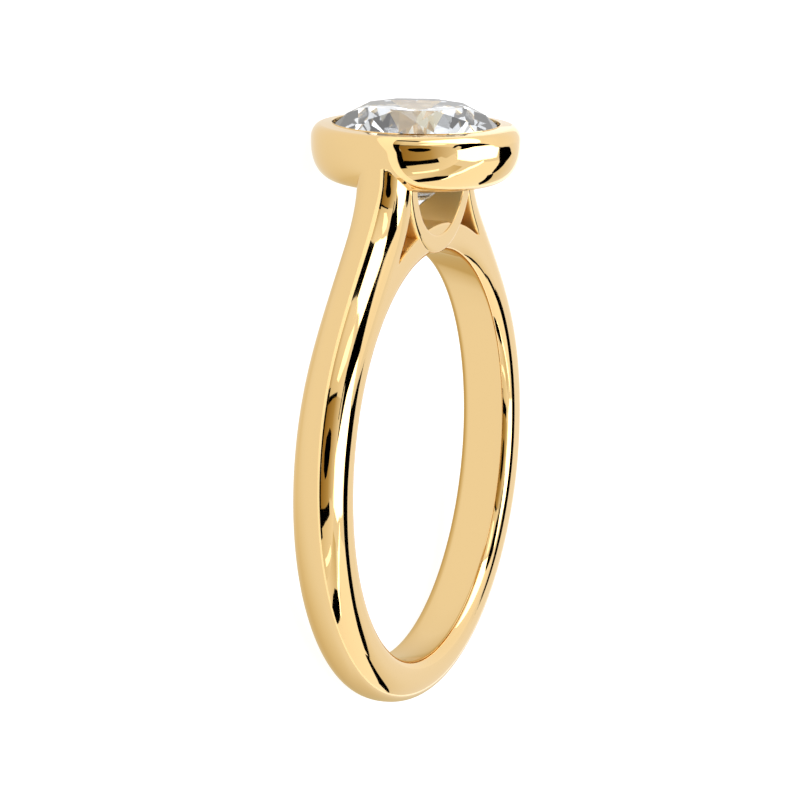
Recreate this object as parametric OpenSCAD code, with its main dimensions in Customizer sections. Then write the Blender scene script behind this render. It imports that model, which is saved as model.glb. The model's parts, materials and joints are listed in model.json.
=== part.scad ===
// Bezel set solitaire ring: one cast gold mount that holds a round brilliant cut stone.
// Millimetres. The ring lies on its side, on its bezel and the edge of its shank, with Z up.
// Inside pose_lying() the ring's own axes hold: X across, Y from the finger up through the
// stone, Z along the finger, and the middle of the finger hole is the origin.

/* [Shank] */
// Inside diameter of the finger hole
finger_d = 16.5; // [16.2:0.1:16.8]
// Width of the band along the finger
band_w = 2.2; // [2.0:0.1:2.4]
// Thickness of the band under the finger
bottom_t = 1.7; // [1.5:0.1:1.8]
// Thickness of the band at the two sides
side_t = 2.1; // [2.0:0.1:2.2]
// Height of the rounded outside above the flat sides
dome_h = 1.15; // [1.0:0.05:1.2]
// Fullness of the rounded outside, where 2 is an ellipse
dome_n = 2.3; // [2.0:0.1:2.8]
// Radius of the rounded edges of the finger hole
edge_r = 0.25; // [0.15:0.05:0.3]

/* [Shoulders] */
// Radius of the round above each side
shoulder_r = 8.37; // [8.3:0.01:8.4]
// Length of the straight stretch above it
shoulder_run = 2.4; // [2.3:0.05:2.5]
// Radius of the hollow sweep up to the bezel
flare_r = 14.8; // [14.6:0.1:15.0]
// Angle that the hollow sweep turns through, ending inside the bezel's wall
flare_turn = 20.5; // [20:0.5:21]
// Thickness of the shoulder beside its opening
shoulder_t = 1.45; // [1.35:0.05:1.5]
// Thickness of the bridge over the finger
bridge_t = 1.17; // [1.1:0.01:1.25]

/* [Gallery] */
// Height of the gallery ring's centre above the finger hole
gallery_lift = 3.35; // [3.3:0.01:3.4]
// Inside radius of the gallery ring
gallery_in_r = 2.6; // [2.5:0.05:2.7]
// Outside radius of the gallery ring
gallery_out_r = 3.34; // [3.3:0.01:3.34]
// Width of the gallery ring along the finger
gallery_w = 2.3; // [2.25:0.05:2.4]

/* [Bezel] */
// Outside radius of the bezel at its widest
bezel_r = 4.19; // [4.1:0.01:4.25]
// Radius of the flat underside
bezel_foot_r = 2.68; // [2.65:0.01:2.8]
// Height of the lower bulge, from the underside to the widest line
bezel_low_h = 1.77; // [1.7:0.01:1.8]
// Height of the upper round, from the widest line to the rim
bezel_up_h = 0.56; // [0.5:0.01:0.6]
// Outside radius of the rim
rim_r = 3.78; // [3.7:0.01:3.85]
// Fullness of the lower bulge, where 2 is an ellipse
bulge_n = 2.5; // [2.3:0.1:2.7]
// Radius of the opening under the stone
drain_r = 2.3; // [2.2:0.05:2.35]

/* [Stone] */
// Diameter of the stone
stone_d = 7.0; // [6.98:0.01:7.0]
// Height of the stone's point above the finger hole
stone_lift = 1.68; // [1.66:0.01:1.7]
// Slope of the crown
crown_slope = 34.5; // [34.3:0.1:34.6]
// Slope of the pavilion
pavilion_slope = 40.8; // [40.7:0.1:40.9]
// Diameter of the table as a share of the stone
table_share = 0.57; // [0.55:0.01:0.59]
// Thickness of the girdle
girdle_t = 0.16; // [0.14:0.01:0.17]
// Gap between the stone and the metal
seat_gap = 0.04; // [0.03:0.01:0.05]

/* [Hidden] */
finger_r = finger_d / 2;
half_w = band_w / 2;

// Lower half of the shank: one round whose centre stands above the finger's, so that the
// band thickens from bottom_t to side_t.
shank_r = finger_r + side_t;
shank_rise = side_t - bottom_t;
// Depth to which each sweep of the band is solid, past the wall of the finger hole
sweep_depth = 2.6;
dome_steps = 9;

// The shoulder's straight stretch leans in 10296 for every 11753 that it climbs, which makes a
// right triangle with whole sides, so that turned pieces meet without rounding errors
shoulder_turn = atan2(10296, 11753);
// Centre of the shoulder's round, and the centre of its hollow sweep seen from there
shoulder_x = shank_r - shoulder_r;
flare_at = [shoulder_r + flare_r, shoulder_run];

gallery_y = finger_r + gallery_lift;
bridge_r = finger_r + bridge_t;

// Stone, from its point at the bottom to its table at the top
stone_r = stone_d / 2;
stone_y = finger_r + stone_lift;
table_r = stone_r * table_share;
pavilion_h = stone_r * tan(pavilion_slope);
crown_h = (stone_r - table_r) * tan(crown_slope);
girdle_y = stone_y + pavilion_h;
table_y = girdle_y + girdle_t + crown_h;
// The crown's stars reach this share of the way from the table to the girdle
star_share = 0.55;
// The pavilion's lower halves reach in to this share of the radius
lower_half_share = 0.23;
star_r = table_r * cos(22.5) + star_share * (stone_r - table_r * cos(22.5));
low_r = lower_half_share * stone_r;

// Bezel, from its underside to its rim
bezel_y = girdle_y - 0.15;
bezel_foot_y = bezel_y - bezel_low_h;
rim_y = bezel_y + bezel_up_h;
// The lip covers this much of the stone's edge, and rises this much above the rim
lip_cover = 0.13;
lip_rise = 0.1;
lip_r = stone_r - lip_cover;

// The outer curve of the bezel as [radius, height], from the underside up to the lip
function bezel_outline() = concat(
    [for (a = [90:-9:0]) [bezel_foot_r + (bezel_r - bezel_foot_r) * pow(cos(a), 2 / bulge_n),
                          bezel_y - bezel_low_h * pow(sin(a), 2 / bulge_n)]],
    [for (a = [11.25:11.25:90]) [rim_r + (bezel_r - rim_r) * cos(a), bezel_y + bezel_up_h * sin(a)]],
    [[lip_r, rim_y + lip_rise]]);

// The band's rounded outside as [depth below the crest, distance from the middle]
function dome() = [for (i = [-dome_steps:dome_steps])
    let (a = 90 * i / dome_steps)
    [dome_h * (1 - pow(cos(a), 2 / dome_n)), half_w * sign(a) * pow(abs(sin(a)), 2 / dome_n)]];

// The ring tips over until its bezel and the edge of its shank touch the floor together
function bezel_low(t) = min([for (p = bezel_outline()) p[1] * sin(t) - p[0] * cos(t)]);
function shank_low(t) = min([for (p = dome()) -(finger_r + bottom_t - p[0]) * sin(t) + p[1] * cos(t)]);
function settle(low, high, steps) = let (t = (low + high) / 2)
    steps == 0 ? t
    : bezel_low(t) < shank_low(t) ? settle(t, high, steps - 1) : settle(low, t, steps - 1);
tilt = settle(0, 30, 30);
floor_z = shank_low(tilt);
front_y = table_y * cos(tilt) + table_r * sin(tilt);
back_y = min([for (p = dome()) -(finger_r + bottom_t - p[0]) * cos(tilt) - p[1] * sin(tilt)]);

module pose_lying() {
    translate([0, -(front_y + back_y) / 2, -floor_z]) rotate([tilt, 0, 0]) children();
}

// The band's section, with its crest at radius r and its metal towards the side that inward gives
module band_section(r, inward) {
    polygon(concat([for (p = dome()) [r + inward * p[0], p[1]]],
                   [[r + inward * sweep_depth, half_w], [r + inward * sweep_depth, -half_w]]));
}

module shank() {
    translate([0, shank_rise, 0]) rotate([0, 0, 180])
        rotate_extrude(angle = 180, $fn = 144) band_section(shank_r, -1);
}

// One shoulder: a round, a straight stretch and a hollow sweep into the bezel. The round is swept
// a little too far and trimmed square to the straight stretch, so that their ends meet face to face.
module shoulder() {
    translate([shoulder_x, shank_rise, 0]) {
        difference() {
            rotate_extrude(angle = shoulder_turn + 10, $fn = 144) band_section(shoulder_r, -1);
            rotate([0, 0, shoulder_turn]) translate([0, 0, -band_w])
                cube([2 * shoulder_r, shoulder_r, 2 * band_w]);
        }
        rotate([0, 0, shoulder_turn]) {
            translate([0, shoulder_run, 0]) rotate([90, 0, 0])
                linear_extrude(shoulder_run) band_section(shoulder_r, -1);
            translate(flare_at) mirror([0, 1, 0]) rotate([0, 0, 180])
                rotate_extrude(angle = flare_turn, $fn = 288) band_section(flare_r, 1);
        }
    }
}

// The plate between the shoulders, over the finger
module head_plate() {
    translate([0, 0, -half_w]) linear_extrude(band_w)
        polygon([[-5, 5], [-6, 6.2], [-4.5, 8.6], [-3.1, 11.4],
                 [3.1, 11.4], [4.5, 8.6], [6, 6.2], [5, 5]]);
}

// The three cornered opening between shoulder, bridge and gallery ring
module shoulder_opening() {
    translate([0, 0, -band_w]) linear_extrude(2 * band_w) difference() {
        translate([0.5, finger_r]) square([5, bezel_foot_y - finger_r - 0.2]);
        circle(bridge_r, $fn = 144);
        translate([0, gallery_y]) circle(gallery_out_r, $fn = 96);
        translate([shoulder_x, shank_rise]) rotate(shoulder_turn) translate(flare_at)
            circle(flare_r + shoulder_t, $fn = 288);
    }
}

// The round gallery under the bezel, open along the finger
module gallery() {
    intersection() {
        translate([0, gallery_y, -gallery_w / 2]) cylinder(r = gallery_out_r, h = gallery_w, $fn = 96);
        translate([-5, finger_r - 0.5, -band_w]) cube([10, bezel_foot_y + 0.35 - finger_r + 0.5, 2 * band_w]);
    }
}

module gallery_window() {
    translate([0, gallery_y, -band_w]) cylinder(r = gallery_in_r, h = 2 * band_w, $fn = 96);
}

module about_stone_axis() {
    rotate([-90, 0, 0]) children();
}

module bezel() {
    about_stone_axis() rotate_extrude($fn = 144)
        polygon(concat([[0, bezel_foot_y]], bezel_outline(), [[0, rim_y + lip_rise]]));
}

// Space for the stone: opening below, cone under the pavilion, wall round the girdle, lip above
module stone_seat() {
    wall_r = stone_r + seat_gap;
    seat_low_y = stone_y - seat_gap / cos(pavilion_slope) + drain_r * tan(pavilion_slope);
    seat_high_y = stone_y - seat_gap / cos(pavilion_slope) + wall_r * tan(pavilion_slope);
    lip_y = girdle_y + girdle_t + seat_gap / cos(crown_slope) + lip_cover * tan(crown_slope);
    about_stone_axis() rotate_extrude($fn = 144)
        polygon([[0, bezel_foot_y - 0.1], [drain_r, bezel_foot_y - 0.1], [drain_r, seat_low_y],
                 [wall_r, seat_high_y],
                 [wall_r, lip_y - (wall_r - lip_r) * tan(crown_slope)],
                 [lip_r, lip_y], [lip_r, rim_y + 1], [0, rim_y + 1]]);
}

// Finger hole with rounded edges
module finger_hole() {
    cylinder(r = finger_r, h = 3 * band_w, center = true, $fn = 144);
    for (side = [0, 1]) mirror([0, 0, side]) rotate_extrude($fn = 144) difference() {
        translate([finger_r - 0.5, half_w - edge_r]) square([edge_r + 0.5, band_w]);
        translate([finger_r + edge_r, half_w - edge_r]) circle(edge_r, $fn = 48);
    }
}

module ring_mount() {
    color([0.91, 0.76, 0.48]) pose_lying() difference() {
        union() {
            difference() {
                union() {
                    difference() {
                        union() {
                            shank();
                            for (side = [0, 1]) mirror([side, 0, 0]) shoulder();
                            head_plate();
                        }
                        for (side = [0, 1]) mirror([side, 0, 0]) shoulder_opening();
                    }
                    gallery();
                }
                gallery_window();
            }
            bezel();
        }
        finger_hole();
        stone_seat();
    }
}

// Points evenly spaced on a level circle round the stone's axis
function level_ring(count, r, y, start) =
    [for (i = [0:count - 1]) [r * cos(start + 360 * i / count), y, r * sin(start + 360 * i / count)]];

// Round brilliant: table, stars, crown mains, upper halves, girdle, lower halves, pavilion mains
module stone() {
    star_y = table_y - (star_r * cos(22.5) - table_r) * tan(crown_slope);
    low_y = stone_y + low_r * cos(22.5) * tan(pavilion_slope);
    // Where each level of points starts in the list
    star = 8;
    top = 16;
    under = 32;
    low = 48;
    point = 56;
    points = concat(level_ring(8, table_r, table_y, 0), level_ring(8, star_r, star_y, 22.5),
                    level_ring(16, stone_r, girdle_y + girdle_t, 0), level_ring(16, stone_r, girdle_y, 0),
                    level_ring(8, low_r, low_y, 22.5), [[0, stone_y, 0]]);
    faces = concat(
        [[for (i = [0:7]) i]],
        [for (i = [0:7]) [(i + 1) % 8, i, star + i]],
        [for (i = [0:7]) [star + i, i, star + (i + 7) % 8, top + 2 * i]],
        [for (i = [0:7], k = [0, 1]) [star + i, top + 2 * i + k, top + (2 * i + k + 1) % 16]],
        [for (i = [0:15]) [top + (i + 1) % 16, top + i, under + i, under + (i + 1) % 16]],
        [for (i = [0:7], k = [0, 1]) [low + i, under + (2 * i + k + 1) % 16, under + 2 * i + k]],
        [for (i = [0:7]) [low + i, under + 2 * i, low + (i + 7) % 8, point]]);
    color([0.9, 0.94, 0.97, 0.6]) pose_lying() polyhedron(points, faces);
}

ring_mount();
stone();
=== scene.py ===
"""A bezel set solitaire ring, lying on its side on a pale floor.

The mount is worked out in the ring's own axes, in millimetres: X across, Y from the finger up
through the stone, Z along the finger, from the middle of the finger hole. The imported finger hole
then says where that frame lies, and every point is carried there in metres.
"""

import json
import math

import bmesh
import bpy
import numpy as np
from mathutils import Matrix, Vector


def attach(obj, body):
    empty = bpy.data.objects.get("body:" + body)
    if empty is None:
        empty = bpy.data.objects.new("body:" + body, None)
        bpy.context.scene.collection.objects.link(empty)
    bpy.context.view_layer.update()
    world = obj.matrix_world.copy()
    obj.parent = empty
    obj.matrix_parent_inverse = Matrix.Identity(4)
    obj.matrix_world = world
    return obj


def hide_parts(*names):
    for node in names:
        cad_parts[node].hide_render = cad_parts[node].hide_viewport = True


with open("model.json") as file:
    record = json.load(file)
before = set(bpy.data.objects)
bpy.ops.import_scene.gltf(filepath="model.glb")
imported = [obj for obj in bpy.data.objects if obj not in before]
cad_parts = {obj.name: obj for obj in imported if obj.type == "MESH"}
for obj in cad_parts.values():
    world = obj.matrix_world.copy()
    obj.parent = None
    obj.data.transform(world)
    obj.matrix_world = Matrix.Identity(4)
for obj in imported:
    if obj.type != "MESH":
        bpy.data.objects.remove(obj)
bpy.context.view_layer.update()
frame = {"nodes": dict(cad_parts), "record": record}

# The band, in millimetres: its dome's section is a superellipse of power DOME_N
hole = frame["record"]["mounts"][0]
FINGER_R = hole["dims"]["r_mm"]
HALF_W = 1.1
BOTTOM_T = 1.73
DOME_H = 1.11
DOME_N = 2.33
BORE_EDGE_R = 0.4
BORE_EDGE_TURN = math.radians(80)
SIDE_PILLOW_R = 1.4
SHOULDER_T = 1.35
NECK_HEADING = math.radians(95)
NECK_DROP = 0.04
BRIDGE_R = FINGER_R + 1.17
OPENING_EDGE_R = 0.1
OPENING_EDGE_START = 0.4

# The gallery, a bar round an arc whose ends lie GALLERY_LIFT above its middle
GALLERY_Y = FINGER_R + 3.35
GALLERY_IN_R = 2.6
GALLERY_OUT_R = 3.34
GALLERY_HALF_W = 1.15
GALLERY_LIFT = 0.25
GALLERY_IN_EDGE_R = 0.08
GALLERY_OUT_EDGE_R = 0.16

# The stone, and the bezel with its seat
STONE_R = 3.5
STONE_Y = FINGER_R + 1.68
PAVILION_SLOPE = math.radians(40.8)
CROWN_SLOPE = math.radians(34.5)
GIRDLE_Y = STONE_Y + STONE_R * math.tan(PAVILION_SLOPE)
GIRDLE_T = 0.16
SEAT_GAP = 0.04
BEZEL_R = 4.19
BEZEL_Y = GIRDLE_Y - 0.15
BEZEL_FOOT_R = 2.68
BEZEL_LOW_H = 1.77
BEZEL_UP_H = 0.56
BULGE_N = 2.5
RIM_R = 3.78
LIP_R = STONE_R - 0.13
LIP_RISE = 0.1
DRAIN_R = 2.3
SEAT_REACH = 0.15
SEAT_DROP = 0.25
SEAT_RISE = 2

# Mesh: the widest spacing of points, how many lie across each stretch of the band's section and
# round the seat, the sharpest turn that still shades smooth, and the outer curve's finest steps
CELL = 0.11
DOME_POINTS = 19
SIDE_POINTS = 3
FLAT_POINTS = 8
BORE_POINTS = 8
OPENING_POINTS = 10
SEAT_POINTS = 96
SMOOTH_TURN = math.radians(32)
PATH_STEP = 0.01
PATH_LENGTH = 34

# Curve of the band: where each stretch's radius takes over, the length that the change is eased
# over, and the radius, all along the outside from under the finger
CURVE = [
    (11.0, 1.85, 9.52),
    (22.71, 6.69, math.inf),
    (27.9, 4.1, -1.92),
]
BOTTOM_R = 10.33

# Where the ring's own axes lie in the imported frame
hole_axis = Vector(hole["axis"]).normalized()
across = Vector((1, 0, 0))
ring_axes = Matrix((across, hole_axis.cross(across), hole_axis)).transposed()
ring_pose = Matrix.Translation(hole["pos_m"]) @ ring_axes.to_4x4() @ Matrix.Scale(0.001, 4)


def eased(x):
    """0 below 0, 1 above 1, and 3x^2 - 2x^3 between."""
    x = np.clip(x, 0, 1)
    return x * x * (3 - 2 * x)


def running_sum(values, step):
    """The integral of values from the first one, by the trapezium rule."""
    return np.concatenate([[0], np.cumsum((values[1:] + values[:-1]) * step / 2)])


def outer_path():
    """Points and headings of the ring's outer curve, from under the finger up its right shoulder.

    Curvature is one over each stretch's radius, with each change eased. The heading is the running
    sum of the curvature and stays at NECK_HEADING once it has come back to it, and the place is
    the running sum of the heading's cosine and sine, up to just under the bezel's widest height.
    """
    s = np.arange(0, PATH_LENGTH, PATH_STEP)
    bend = np.full(len(s), 1 / BOTTOM_R)
    before = 1 / BOTTOM_R
    for start, ease, radius in CURVE:
        bend += (1 / radius - before) * eased((s - start) / ease + 0.5)
        before = 1 / radius
    heading = running_sum(bend, PATH_STEP)
    neck = np.argmax((heading < NECK_HEADING) & (s > CURVE[-1][0]))
    heading[neck:] = NECK_HEADING
    x = running_sum(np.cos(heading), PATH_STEP)
    y = running_sum(np.sin(heading), PATH_STEP) - FINGER_R - BOTTOM_T
    end = np.argmax(y > BEZEL_Y - NECK_DROP)
    return s[:end], np.stack([x, y], 1)[:end], heading[:end]


def grid_quads(rows, cols, base=0, closed_rows=False, closed_cols=False):
    """Quads of a grid of points numbered row by row."""
    i = np.arange(rows if closed_rows else rows - 1)
    j = np.arange(cols if closed_cols else cols - 1)
    i, j = np.meshgrid(i, j, indexing="ij")
    i1, j1 = (i + 1) % rows, (j + 1) % cols
    quads = np.stack([i * cols + j, i1 * cols + j, i1 * cols + j1, i * cols + j1], -1)
    return quads.reshape(-1, 4) + base


def linked(name, data):
    """An object in the scene, in the world's own axes, that shows a mesh or holds a camera."""
    made = bpy.data.objects.new(name, data)
    bpy.context.scene.collection.objects.link(made)
    return made


def flat_object(name, corners):
    """An object with one flat face, given by its corners."""
    mesh = bpy.data.meshes.new(name)
    mesh.from_pydata(corners, [], [range(len(corners))])
    return linked(name, mesh)


def mesh_object(name, parts):
    """One mesh object from grids of points, each given as (points, closed_rows, closed_cols)."""
    points, quads, base = [], [], 0
    for grid, closed_rows, closed_cols in parts:
        rows, cols = grid.shape[:2]
        points.append(grid.reshape(-1, 3))
        quads.append(grid_quads(rows, cols, base, closed_rows, closed_cols))
        base += rows * cols
    mesh = bpy.data.meshes.new(name)
    mesh.from_pydata(np.concatenate(points), [], np.concatenate(quads))
    return linked(name, mesh)


def close_up(made, reach=1e-4):
    """Merges a mesh's seams and poles, caps its open ends and turns its faces outwards.

    reach is how close two points lie to be merged.
    """
    bm = bmesh.new()
    bm.from_mesh(made.data)
    bmesh.ops.remove_doubles(bm, verts=bm.verts, dist=reach)
    bmesh.ops.dissolve_degenerate(bm, edges=bm.edges, dist=reach)
    bmesh.ops.holes_fill(bm, edges=[e for e in bm.edges if e.is_boundary], sides=0)
    bmesh.ops.recalc_face_normals(bm, faces=bm.faces)
    bm.to_mesh(made.data)
    bm.free()


def mirrored(parts):
    """The grids with their mirror images across X and Z."""
    out = []
    for flip in ((1, 1), (-1, 1), (1, -1), (-1, -1)):
        out += [(grid * (flip[0], 1, flip[1]), rows, cols) for grid, rows, cols in parts]
    return out


def lined(start, end, count):
    """Points on straight lines from each start to its end, without the start."""
    t = np.arange(1, count + 1)[:, None] / count
    return start[:, None] * (1 - t) + end[:, None] * t


def side_columns(outline, z):
    """Gives flat points, by station and column, their height z, by column or by both."""
    z = np.broadcast_to(z, outline.shape[:2])
    return np.concatenate([outline, z[..., None]], -1)


def bore_edge():
    """How far the hole's rounded edge lies outside the hole and below the side face.

    Its normal tilts by t from straight up to straight in. The radius of its curve is P where the
    tilt is above T and E below it, so it is E (1 - cos t) + P (cos T - cos t) outside the hole.
    """
    t = np.radians([90, 87, 84, 82, 80, 74, 67, 60, 53, 46, 39, 32, 25, 18, 12, 6, 0])
    low, high = np.minimum(t, BORE_EDGE_TURN), np.maximum(t, BORE_EDGE_TURN)
    outside = (BORE_EDGE_R * (1 - np.cos(low))
               + SIDE_PILLOW_R * (math.cos(BORE_EDGE_TURN) - np.cos(high)))
    height = (BORE_EDGE_R * np.sin(low)
              + SIDE_PILLOW_R * (np.sin(high) - math.sin(BORE_EDGE_TURN)))
    return outside, height[0] - height


def bore_columns(angle):
    """Rounded edge and wall of the finger hole at each polar angle, down to the middle plane."""
    outside, below = bore_edge()
    radius = np.concatenate([FINGER_R + outside[1:], np.full(BORE_POINTS, FINGER_R)])
    wall = (HALF_W - below[-1]) * (1 - np.arange(1, BORE_POINTS + 1) / BORE_POINTS)
    z = np.concatenate([HALF_W - below[1:], wall])
    flat = radius[None, :, None] * np.stack([np.cos(angle), np.sin(angle)], -1)[:, None]
    return side_columns(flat, z)


def opening_columns(edge, inward, edge_r):
    """Rounded edge and wall of an opening, from its flat side down to the middle plane.

    edge is the wall's place and inward the unit normal that points from the wall into the metal.
    """
    b = np.linspace(0, math.pi / 2, 5)[1:]
    into = edge_r[:, None] * np.concatenate([1 - np.sin(b), np.zeros(OPENING_POINTS)])
    top = (HALF_W - edge_r)[:, None]
    down = np.arange(1, OPENING_POINTS + 1) / OPENING_POINTS
    z = np.concatenate([top + edge_r[:, None] * np.cos(b), top * (1 - down)], 1)
    return side_columns(edge[:, None] + inward[:, None] * into[..., None], z)


def shank_and_shoulders():
    """The band round the finger, its two shoulders and the bridge between them.

    Across each station the section is a superellipse dome of height h, full width at depth h,
    then a flat side, then a rounded edge and a wall. The shank's wall is the finger hole's, a
    shoulder's is its opening's, and the bridge has one of each.
    """
    s, place, heading = outer_path()
    inward = np.stack([-np.sin(heading), np.cos(heading)], 1)
    side_edge = FINGER_R + bore_edge()[0][0]
    along = (place * inward).sum(1)
    reach = -along - np.sqrt(np.maximum(along**2 - (place**2).sum(1) + side_edge**2, 0))
    inner = place + SHOULDER_T * inward
    crotch = np.argmax((np.hypot(*inner.T) > BRIDGE_R) & (s > FINGER_R * 2))
    pick_shank = np.linspace(0, crotch, int(s[crotch] / CELL)).round().astype(int)
    pick_arm = np.linspace(crotch, len(s) - 1, int((s[-1] - s[crotch]) / CELL)).round().astype(int)

    a = np.linspace(0, math.pi / 2, DOME_POINTS)
    depth = DOME_H * (1 - np.maximum(np.cos(a), 0) ** (2 / DOME_N))
    dome_z = HALF_W * np.sin(a) ** (2 / DOME_N)

    def dome(pick):
        return side_columns(place[pick][:, None] + inward[pick][:, None] * depth[:, None], dome_z)

    def at(pick, how_deep):
        return place[pick] + inward[pick] * np.broadcast_to(how_deep, len(pick))[:, None]

    share = (SHOULDER_T - DOME_H) / (reach[crotch] - DOME_H)
    split = DOME_H + share * (reach[pick_shank] - DOME_H)
    foot, middle, edge = (at(pick_shank, d) for d in (DOME_H, split, reach[pick_shank]))
    shank = np.concatenate([dome(pick_shank),
                            side_columns(lined(foot, middle, SIDE_POINTS), HALF_W),
                            side_columns(lined(middle, edge, FLAT_POINTS), HALF_W),
                            bore_columns(np.arctan2(edge[:, 1], edge[:, 0]))], 1)

    edge_r = OPENING_EDGE_R * eased((s[pick_arm] - s[crotch]) / OPENING_EDGE_START)
    foot, middle = at(pick_arm, DOME_H), at(pick_arm, SHOULDER_T - edge_r)
    arm = np.concatenate([dome(pick_arm), side_columns(lined(foot, middle, SIDE_POINTS), HALF_W),
                          opening_columns(at(pick_arm, SHOULDER_T), -inward[pick_arm], edge_r)], 1)

    start, end = inner[crotch], at(np.array([crotch]), reach[crotch])[0]
    bridge_r = math.hypot(*start)
    t = np.linspace(0, 1, int(start[0] / CELL))
    out_angle, in_angle = ((1 - t) * math.atan2(p[1], p[0]) + t * math.pi / 2 for p in (start, end))
    out_way, in_way = (np.stack([np.cos(v), np.sin(v)], 1) for v in (out_angle, in_angle))
    edge_r = OPENING_EDGE_R * eased(t * (start[0] / OPENING_EDGE_START))
    wall = opening_columns(out_way * bridge_r, -out_way, edge_r)[:, ::-1]
    top = side_columns((out_way * (bridge_r - edge_r)[:, None])[:, None], HALF_W)
    flat = side_columns(lined(top[:, 0, :2], in_way * side_edge, FLAT_POINTS), HALF_W)
    bridge = np.concatenate([wall, top, flat, bore_columns(in_angle)], 1)

    made = mesh_object("band", mirrored([(shank, False, False), (arm, False, False),
                                         (bridge, False, False)]))
    close_up(made)
    return made


def rounded(corners, steps=5):
    """An outline with each corner (x, y, r) cut back by r and bridged with a quadratic curve.

    Between its ends a and b, the curve round a corner c is a (1 - t)^2 + 2 c t (1 - t) + b t^2.
    """
    corners = np.array(corners, float)
    places, out = corners[:, :2], []
    for i, r in enumerate(corners[:, 2]):
        here, before, after = places[i], places[i - 1], places[(i + 1) % len(places)]
        a = here + (before - here) / np.linalg.norm(before - here) * r
        b = here + (after - here) / np.linalg.norm(after - here) * r
        t = np.linspace(0, 1, steps)[:, None]
        out.append(a * (1 - t) ** 2 + here * 2 * t * (1 - t) + b * t**2)
    return np.concatenate(out)


def spaced(outline, gap):
    """A closed outline with points added wherever two neighbours are more than gap apart."""
    nxt = np.roll(outline, -1, 0)
    out = []
    for p, q in zip(outline, nxt):
        n = max(1, math.ceil(np.linalg.norm(q - p) / gap))
        out.append(p + (q - p) * (np.arange(n) / n)[:, None])
    return np.concatenate(out)


def gallery():
    """The round gallery under the bezel: a rounded bar carried round an arc about Z.

    A point is (r cos a, y0 + r sin a, z), with (r, z) on the bar's section and a from the left
    wall of the bezel down and round to the right one.
    """
    section = spaced(rounded([(GALLERY_IN_R, -GALLERY_HALF_W, GALLERY_IN_EDGE_R),
                              (GALLERY_OUT_R, -GALLERY_HALF_W, GALLERY_OUT_EDGE_R),
                              (GALLERY_OUT_R, GALLERY_HALF_W, GALLERY_OUT_EDGE_R),
                              (GALLERY_IN_R, GALLERY_HALF_W, GALLERY_IN_EDGE_R)]), CELL)
    lift = math.asin(GALLERY_LIFT / GALLERY_OUT_R)
    a = np.linspace(math.pi + lift, 2 * math.pi - lift, int(math.pi * GALLERY_OUT_R / CELL))
    r, z = section[None, :, 0], section[None, :, 1]
    grid = np.stack([r * np.cos(a)[:, None], GALLERY_Y + r * np.sin(a)[:, None],
                     np.broadcast_to(z, (len(a), len(section)))], -1)
    made = mesh_object("gallery", [(grid, False, True)])
    close_up(made)
    return made


def bezel():
    """The bezel cup: a closed section (r, y) turned once about the stone's axis.

    Outside, the lower bulge is a superellipse and the upper round a quarter ellipse. Inside are
    the lip over the stone's edge, the wall round the girdle, the cone under it and the drain.
    """
    a = np.linspace(math.pi / 2, 0, 27)
    bulge = np.maximum(np.cos(a), 0) ** (2 / BULGE_N)
    low = np.stack([BEZEL_FOOT_R + (BEZEL_R - BEZEL_FOOT_R) * bulge,
                    BEZEL_Y - BEZEL_LOW_H * np.sin(a) ** (2 / BULGE_N)], 1)
    a = np.linspace(0, math.pi / 2, 13)[1:]
    up = np.stack([RIM_R + (BEZEL_R - RIM_R) * np.cos(a), BEZEL_Y + BEZEL_UP_H * np.sin(a)], 1)
    wall_r = STONE_R + SEAT_GAP
    cone, crown = math.tan(PAVILION_SLOPE), math.tan(CROWN_SLOPE)
    seat = STONE_Y - SEAT_GAP / math.cos(PAVILION_SLOPE)
    lip_y = (GIRDLE_Y + GIRDLE_T + SEAT_GAP / math.cos(CROWN_SLOPE)
             + (STONE_R - LIP_R) * crown)
    rim_y = BEZEL_Y + BEZEL_UP_H + LIP_RISE
    inside = rounded([(LIP_R, rim_y, 0.06), (LIP_R, lip_y, 0.03),
                      (wall_r, lip_y - (wall_r - LIP_R) * crown, 0.03),
                      (wall_r, seat + wall_r * cone, 0.04), (DRAIN_R, seat + DRAIN_R * cone, 0.06),
                      (DRAIN_R, BEZEL_Y - BEZEL_LOW_H, 0.08)], 4)
    section = spaced(np.concatenate([low, up, inside]), CELL)
    turn = np.linspace(0, 2 * math.pi, int(2 * math.pi * BEZEL_R / CELL), endpoint=False)
    r, y = section[None, :, 0], section[None, :, 1]
    grid = np.stack([r * np.cos(turn)[:, None], np.broadcast_to(y, (len(turn), len(section))),
                     r * np.sin(turn)[:, None]], -1)
    made = mesh_object("bezel", [(grid, True, True)])
    close_up(made)
    return made


def seat_space():
    """The room for the stone: a cone and cylinder about its axis, a little way into the bezel."""
    r = STONE_R + SEAT_GAP + SEAT_REACH
    low = STONE_Y - SEAT_DROP
    high = GIRDLE_Y + SEAT_RISE
    radius = np.array([0, r, r, 0])
    height = np.array([low, low + r * math.tan(PAVILION_SLOPE), high, high])
    turn = np.linspace(0, 2 * math.pi, SEAT_POINTS, endpoint=False)[:, None]
    grid = np.stack([radius * np.cos(turn), np.broadcast_to(height, (SEAT_POINTS, len(height))),
                     radius * np.sin(turn)], -1)
    made = mesh_object("seat_space", [(grid, True, False)])
    close_up(made)
    return made


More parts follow.
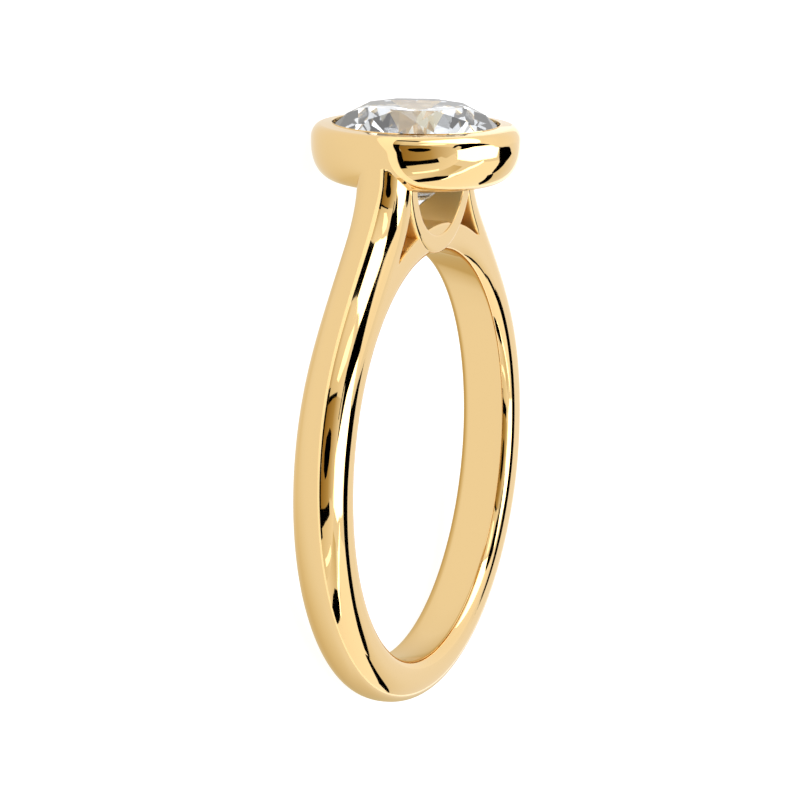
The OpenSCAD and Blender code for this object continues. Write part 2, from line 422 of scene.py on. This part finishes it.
def soldered(name, pieces):
    """One solid from several closed ones that overlap, with the seat's room cut out of the first.

    The shoulders' ends reach into the bezel, and the cut keeps them out of the stone's room.
    """
    body = pieces[0]
    cut = body.modifiers.new("seat", "BOOLEAN")
    cut.operation, cut.solver, cut.object = "DIFFERENCE", "EXACT", seat_space()
    for other in pieces[1:]:
        join = body.modifiers.new("join", "BOOLEAN")
        join.operation, join.solver, join.object = "UNION", "EXACT", other
    bpy.context.view_layer.update()
    joined = body.evaluated_get(bpy.context.evaluated_depsgraph_get())
    mesh = bpy.data.meshes.new_from_object(joined)
    mesh.name = name
    for used in [*pieces, cut.object]:
        bpy.data.objects.remove(used)
    return linked(name, mesh)


def polish(made):
    """Moves a piece from the ring's own axes to the frame, and shades it smooth up to its edges."""
    made.data.transform(ring_pose)
    made.data.shade_smooth()
    made.data.set_sharp_from_angle(angle=SMOOTH_TURN)


# Where each finish ends: the largest share of its normal along the finger that a face inside an
# opening has, and how far faces may lie from the bridge, or from the gallery, seat and drain
SIDEWAYS = 0.7
BRIDGE_SLACK = 0.15
FINISH_SLACK = 0.06


# Faces marked 1 take the satin gold, whose lighter colour is painted light inside the openings and
# gallery
def face_finish_and_painted_light(mesh):
    """0 for the polished faces, 1 for those inside the openings and gallery, 2 for the seat.

    A face inside an opening lies within the band's width, between the bridge and the bezel's
    foot, and looks across the ring. Farther out than the gallery it also looks inwards, which a
    shoulder's outside doesn't. The seat and drain lie in the bezel, under the girdle, and face
    its axis.
    """
    middle, normal = np.empty(len(mesh.polygons) * 3), np.empty(len(mesh.polygons) * 3)
    mesh.polygons.foreach_get("center", middle)
    mesh.polygons.foreach_get("normal", normal)
    x, y, z = middle.reshape(-1, 3).T
    nx, _, nz = normal.reshape(-1, 3).T
    foot = BEZEL_Y - BEZEL_LOW_H
    opening = ((np.abs(z) < HALF_W) & (np.abs(nz) < SIDEWAYS) & (y < foot) & (y > FINGER_R)
               & (np.hypot(x, y) > BRIDGE_R - BRIDGE_SLACK)
               & ((np.abs(x) < GALLERY_OUT_R + FINISH_SLACK) | (nx * x < 0)))
    r = np.hypot(x, z)
    cup = ((y >= foot) & (y < GIRDLE_Y) & (r < STONE_R + SEAT_GAP + FINISH_SLACK)
           & (nx * x + nz * z < 0))
    seat = cup & (r > DRAIN_R + FINISH_SLACK)
    return np.where(seat, 2, opening | cup)


mount = soldered("gold_mount", [shank_and_shoulders(), gallery(), bezel()])
finish_and_painted_light = face_finish_and_painted_light(mount.data)
polish(mount)
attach(mount, "root")
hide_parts("ring_mount")


def linear(hex_colour):
    """A hex sRGB colour as linear red, green, blue and alpha."""
    parts = np.array([int(hex_colour[i:i + 2], 16) for i in (1, 3, 5)]) / 255
    return (*np.where(parts <= 0.04045, parts / 12.92, ((parts + 0.055) / 1.055) ** 2.4), 1.0)


def material(name):
    """A new material and its main shader node."""
    made = bpy.data.materials.new(name)
    made.use_nodes = True
    return made, made.node_tree.nodes["Principled BSDF"]


def metal(name, colour, roughness):
    """A metal of one colour and one roughness."""
    made, shader = material(name)
    shader.inputs["Base Color"].default_value = linear(colour)
    shader.inputs["Metallic"].default_value = 1.0
    shader.inputs["Roughness"].default_value = roughness
    return made


# Mirror-bright warm yellow: it shows the studio's lights and flags with nearly crisp edges
polished_gold = metal("polished 18 carat yellow gold", "#ECCB91", 0.04)
# The same metal where no polishing wheel reaches: soft and even, and lighter in colour, which is
# painted light inside the openings and gallery
satin_gold_painted_lighter = metal("satin 18 carat yellow gold", "#FFDD98", 0.45)
# White metal under the stone, so that the stone looks white and not yellow
rhodium = metal("rhodium plate on the stone's seat", "#F0F1F4", 0.25)
mount.data.materials.clear()
for made in (polished_gold, satin_gold_painted_lighter, rhodium):
    mount.data.materials.append(made)
mount.data.polygons.foreach_set("material_index", finish_and_painted_light.astype(np.int32))

# Clear, a breath cool, and bends light strongly: white flashes between grey facets
diamond, shader = material("polished diamond")
shader.inputs["Base Color"].default_value = linear("#F4F9FF")
shader.inputs["Transmission Weight"].default_value = 1.0
shader.inputs["Roughness"].default_value = 0.0
shader.inputs["IOR"].default_value = 2.417
stone = frame["nodes"]["stone"]
stone.data.materials.clear()
stone.data.materials.append(diamond)

# Camera, fitted to the ring's outlines: angles round the ring in its own axes, how far it stands
# away in millimetres, its focal length and the finger hole's middle in pixels of the picture, and
# the metres between which it sees
CAMERA_TURN = math.radians(68.14)
CAMERA_RISE = math.radians(10.56)
CAMERA_ROLL = math.radians(1.04)
CAMERA_AWAY = 268.6
FOCAL_PIXELS = 6688.3
HOLE_PIXEL = (410.2, 454.0)
PICTURE = 800
NEAR, FAR = 0.01, 10


def photo_camera():
    """The camera at the photograph's angle, worked out in the ring's own axes.

    back is the way from the finger hole to the camera. right and up turn about it by the roll,
    and the camera then looks along -aim, which puts the finger hole at HOLE_PIXEL.
    """
    back = Vector((-math.sin(CAMERA_TURN) * math.cos(CAMERA_RISE), math.sin(CAMERA_RISE),
                   math.cos(CAMERA_TURN) * math.cos(CAMERA_RISE)))
    right = Vector((0, 1, 0)).cross(back).normalized()
    up = back.cross(right)
    right, up = (math.cos(CAMERA_ROLL) * right + math.sin(CAMERA_ROLL) * up,
                 math.cos(CAMERA_ROLL) * up - math.sin(CAMERA_ROLL) * right)
    aim = (back + right * ((HOLE_PIXEL[0] - PICTURE / 2) / FOCAL_PIXELS)
           - up * ((HOLE_PIXEL[1] - PICTURE / 2) / FOCAL_PIXELS)).normalized()
    right = (right - aim * right.dot(aim)).normalized()
    up = aim.cross(right)
    data = bpy.data.cameras.new("camera")
    data.lens = FOCAL_PIXELS / PICTURE * data.sensor_width
    data.clip_start, data.clip_end = NEAR, FAR
    made = linked("camera", data)
    turn = ring_axes @ Matrix((right, up, aim)).transposed()
    made.matrix_world = Matrix.Translation(ring_pose @ (back * CAMERA_AWAY)) @ turn.to_4x4()
    bpy.context.scene.camera = made


photo_camera()

FLOOR_HALF = 6
floor = flat_object("floor", [(-FLOOR_HALF, -FLOOR_HALF, 0), (FLOOR_HALF, -FLOOR_HALF, 0),
                              (FLOOR_HALF, FLOOR_HALF, 0), (-FLOOR_HALF, FLOOR_HALF, 0)])
# A sanded sheet lit from below: pure white, with only a faint shadow beside the ring
acrylic, shader = material("backlit white acrylic")
shader.inputs["Base Color"].default_value = linear("#959597")
shader.inputs["Roughness"].default_value = 0.7
shader.inputs["Specular IOR Level"].default_value = 0.2
shader.inputs["Emission Color"].default_value = (1, 1, 1, 1)
shader.inputs["Emission Strength"].default_value = 0.9
floor.data.materials.append(acrylic)

# Flat cards that face the ring: name, distance in metres, glow as a share of a white wall's light,
# for the whole card or each corner, and corners as (turn, rise) in degrees seen from the ring
WALL, LIGHT, FLAG = 3.0, 1.6, 1.0
CARDS = [
    ("back_low", WALL, (0.5, 0.75, 1.05, 0.85), [(145, -1), (112, -1), (112, 9), (145, 9)]),
    ("back_wall", WALL, (0.85, 1.05, 1.15, 1.1), [(145, 9), (112, 9), (110, 66), (145, 66)]),
    ("camera_low", WALL, (0.3, 0.36, 0.54, 0.5), [(144, 5), (207, 5), (209, 32), (144, 32)]),
    ("camera_wall", WALL, (0.5, 0.54, 0.95, 0.95), [(144, 32), (209, 32), (212, 62), (144, 64)]),
    ("left_wall", WALL, (0.8, 0.95, 1.12, 1.05), [(203, 0), (232, 0), (232, 60), (205, 60)]),
    ("corner_wall", WALL, (1.1, 1.0, 0.72, 0.8), [(232, 0), (250, 0), (250, 55), (232, 52)]),
    ("front_wall", WALL, (1.15, 1.25, 1.25, 1.25, 1.25),
     [(-104, 0), (-46, 0), (-32, 45), (-60, 60), (-92, 52)]),
    ("side_wall", WALL, (0.9, 1.05, 1.05, 0.88), [(-47, 0), (-6, 0), (-6, 31), (-47, 31)]),
    ("far_wall", WALL, (1.05, 1.05, 1.1, 1.2, 1.2, 1.15),
     [(-6, 0), (46, 0), (104, 0), (104, 66), (46, 66), (-13, 66)]),
    ("corner_light", LIGHT, 3.5,
     [(-13, 60), (-15, 55), (-19, 52), (-32, 51), (-61, 64), (-90, 65), (-122, 63), (-134, 60),
      (-167, 67), (174, 79), (90, 83), (18, 72), (8, 67), (-3, 63)]),
    ("window_side", LIGHT, 3.0,
     [(-100, 20), (-103, 20), (-107, 37), (-95, 56), (-90, 53), (-101, 37)]),
    ("window_top", LIGHT, 3.0, [(-95, 56), (-90, 53), (-61, 60.5), (-60, 63), (-78, 61)]),
    ("back_strip", LIGHT, 3.5,
     [(111.5, 18), (111.5, 34), (108, 45), (104, 55), (90, 62), (70, 65), (60, 60), (60, 18)]),
    ("back_edge", LIGHT, 2.0, [(113, 38), (120, 30), (137, 24), (138, 33), (125, 47), (116, 47)]),
    ("thin_light", LIGHT, 2.0, [(222, 8), (226, 8), (230, 34), (226, 36)]),
    ("roof_flag", FLAG, 0,
     [(160, 62.4), (125, 59), (102, 58.4), (87, 60.3), (76, 63.3), (65, 65.2), (56, 66.6),
      (48, 67.3), (25, 67.8), (11, 67), (31, 77), (90, 83), (177, 79), (188, 73), (180, 71.7),
      (150, 72), (134, 69.4), (130, 65), (160, 65)]),
    ("hook", FLAG, 0,
     [(-13, 31), (-13, 41), (-14.7, 47), (-15, 55), (-19, 52), (-28, 47.5), (-32, 42), (-44, 37),
      (-48, 32), (-45, 29), (-35, 30.5), (-24, 30), (-18, 26), (-15, 23.5)]),
    ("hook_post", FLAG, 0, [(-45, 0), (-53, 10), (-53, 30), (-45, 30)]),
    ("left_strip", FLAG, 0,
     [(-114, 0), (-104, 0), (-102, 18), (-103, 29), (-108, 33), (-116, 24), (-117, 12)]),
    ("back_post", FLAG, 0, [(111.5, -1), (100, -1), (100, 17), (111.5, 17)]),
    ("camera_sill", FLAG, 0,
     [(140, -1), (175, -1), (211, -1), (211, 7), (194, 6), (175, 5.5), (158, 6), (140, 7)]),
    ("camera_nook", FLAG, 0,
     [(144.5, 7), (148.5, 7), (146.5, 22), (145.5, 38), (143, 38), (144, 22)]),
    ("camera_flag", FLAG, 0,
     [(161, 27), (165, 17), (172, 14), (180, 15), (186, 22), (186, 30), (181, 37), (173, 40),
      (165, 37)]),
    ("camera_edge", FLAG, 0,
     [(196, 0), (206, 0), (207, 22), (212, 42), (204, 42), (200, 22), (197, 8)]),
]
# Warm walls that the stone looks straight through, and so stays white
HIDDEN_FROM_STONE = ("camera_low", "camera_wall", "corner_wall", "back_low")

# Matt paper that sends out only its own even light, so that the gold shows it as a plain shape,
# bright for a light and black for a flag
card_paint, card_shader = material("lit paper card")
card_shader.inputs["Base Color"].default_value = (0, 0, 0, 1)
card_shader.inputs["Specular IOR Level"].default_value = 0.0
card_shader.inputs["Emission Strength"].default_value = 1.0
glow_node = card_paint.node_tree.nodes.new("ShaderNodeAttribute")
glow_node.attribute_name = "glow"
card_paint.node_tree.links.new(glow_node.outputs["Color"], card_shader.inputs["Emission Color"])
WARMTH = np.array([0, 0.45, 1.8])


def lit(made, glow):
    """Lights a card by its points' glow, and keeps it out of the picture.

    A glow g gives red, green and blue g h^p, with h = min(g, 1) and each one's p in WARMTH, so
    that a dimmer wall is warmer.
    """
    glow = np.broadcast_to(glow, len(made.data.vertices)).astype(float)[:, None]
    light = np.ones((len(glow), 4))
    light[:, :3] = glow * np.minimum(glow, 1) ** WARMTH
    colours = made.data.attributes.new("glow", "FLOAT_COLOR", "POINT")
    colours.data.foreach_set("color", light.ravel())
    made.data.materials.append(card_paint)
    made.visible_camera = False


def card(name, away, glow, corners):
    """A flat card, each corner at w d / (d . f), for its unit way d, their mean f and distance w.

    d is (cos e cos a, cos e sin a, sin e), for turn a and rise e.
    """
    a, e = np.radians(np.array(corners, float)).T
    way = np.stack([np.cos(e) * np.cos(a), np.cos(e) * np.sin(a), np.sin(e)], 1)
    facing = way.mean(0) / np.linalg.norm(way.mean(0))
    made = flat_object(name, away * way / (way @ facing)[:, None])
    made.visible_transmission = name not in HIDDEN_FROM_STONE
    lit(made, glow)


# The glowing sheet over the floor, in millimetres from the middle of the finger hole: its height,
# where the band's underside lies, and its glow far from the band. (turn, value) pairs then give how
# far the band's painted shadow reaches outside it, and how deep that painted shade is.
PAPER_UP = 0.1
BAND_MIDDLE_R = 9.2
BAND_HALF = 0.9
PAPER_GLOW = 1.03
REACH_IN_HOLE = 0.7
REACH = [(-180, 1.3), (-115, 2), (-60, 9), (0, 5), (90, 3), (125, 0.8), (160, 0.7), (180, 1.3)]
DEEP = [(-180, 0.13), (-150, 0.25), (-100, 0.38), (60, 0.38), (125, 0.13), (180, 0.13)]


def floor_shade():
    """A glowing round sheet just over the floor, which only the gold reflects, with a painted
    shadow of the band: dimmer close to it.

    With m the distance from the band's underside, its glow is PAPER_GLOW - deep e^(-m / reach),
    and deep and reach change with the turn round the ring.
    """
    turn = np.linspace(-180, 180, 73)[:, None]
    r = np.concatenate([np.linspace(0, 8, 9), np.linspace(8.3, 20, 40), [22, 25, 30]])
    reach = np.where(r < BAND_MIDDLE_R, REACH_IN_HOLE, np.interp(turn, *zip(*REACH)))
    away = np.maximum(np.abs(r - BAND_MIDDLE_R) - BAND_HALF, 0)
    # Painted shade: the glow drops near the band as the band's shadow on the floor would, and the
    # gold reflects this painted shadow
    glow = PAPER_GLOW - np.interp(turn, *zip(*DEEP)) * np.exp(-away / reach)
    a = np.radians(turn)
    middle = ring_pose.translation
    grid = np.stack([r * np.cos(a) / 1000 + middle.x, r * np.sin(a) / 1000 + middle.y,
                     np.full(glow.shape, PAPER_UP / 1000)], -1)
    made = mesh_object("floor_shade", [(grid, False, False)])
    made.visible_diffuse = False
    lit(made, glow.ravel())


floor_shade()
for row in CARDS:
    card(*row)

world = bpy.data.worlds.new("studio")
bpy.context.scene.world = world
world.use_nodes = True
room = world.node_tree.nodes["Background"]
room.inputs["Color"].default_value = (1, 1, 1, 1)
room.inputs["Strength"].default_value = 1.0
bpy.context.scene.view_settings.view_transform = "Standard"
